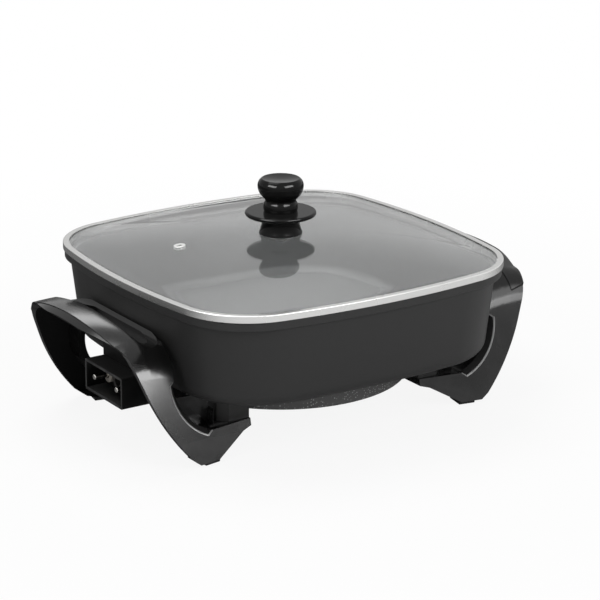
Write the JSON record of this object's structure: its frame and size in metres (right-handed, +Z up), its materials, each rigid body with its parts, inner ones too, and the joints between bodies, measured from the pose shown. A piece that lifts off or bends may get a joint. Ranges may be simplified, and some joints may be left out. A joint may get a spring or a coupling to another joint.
{
  "type": "electric skillet",
  "caption": "Square electric skillet with a deep cast pan, arched handles that are also its legs, a round base cover, a side socket and a domed glass lid with a knob.",
  "frame": {"origin": "on the table, under the middle of the pan", "axes": "+Z up, X through both handles with the socket facing -X, -Y towards the front"},
  "size_m": [0.393, 0.3, 0.1852],
  "materials": {
    "pan_coating": "satin black coating over cast aluminium, grey non-stick inside",
    "heater_steel": "dull stainless steel, slightly heat-tinted",
    "nickel_plate": "bright nickel plate",
    "ceramic": "unglazed steatite",
    "socket_phenolic": "matt black phenolic",
    "zinc_steel": "zinc-plated steel",
    "cover_enamel": "black enamel with pale specks on pressed steel",
    "handle_phenolic": "semi-gloss black phenolic",
    "foot_rubber": "matt black rubber",
    "lid_glass": "clear tempered glass",
    "rim_steel": "polished stainless steel",
    "silicone": "dark silicone",
    "knob_phenolic": "gloss black phenolic",
    "insert_brass": "turned brass"
  },
  "bodies": {
    "base": {"pan": "pan_coating", "heating_element": "heater_steel", "terminal_pins": "nickel_plate", "pin_insulators": "ceramic", "probe_sleeve": "heater_steel", "socket_shroud": "socket_phenolic", "shroud_screws": "zinc_steel", "base_cover": "cover_enamel", "cover_screws": "zinc_steel", "left_handle": "handle_phenolic", "right_handle": "handle_phenolic", "handle_screws": "zinc_steel", "handle_washers": "zinc_steel", "foot_pads": "foot_rubber"},
    "lid": {"lid_glass": "lid_glass", "lid_rim": "rim_steel", "vent_eyelet": "rim_steel", "knob_seals": "silicone", "knob_base": "knob_phenolic", "heat_guard": "knob_phenolic", "knob": "knob_phenolic", "knob_insert": "insert_brass", "lid_washer": "zinc_steel", "knob_screw": "zinc_steel"}
  },
  "joints": [
    {"name": "lid_lift", "type": "slide", "parent": "base", "child": "lid", "axis": [0, 0, 1], "range_m": [0, 0.15]}
  ]
}
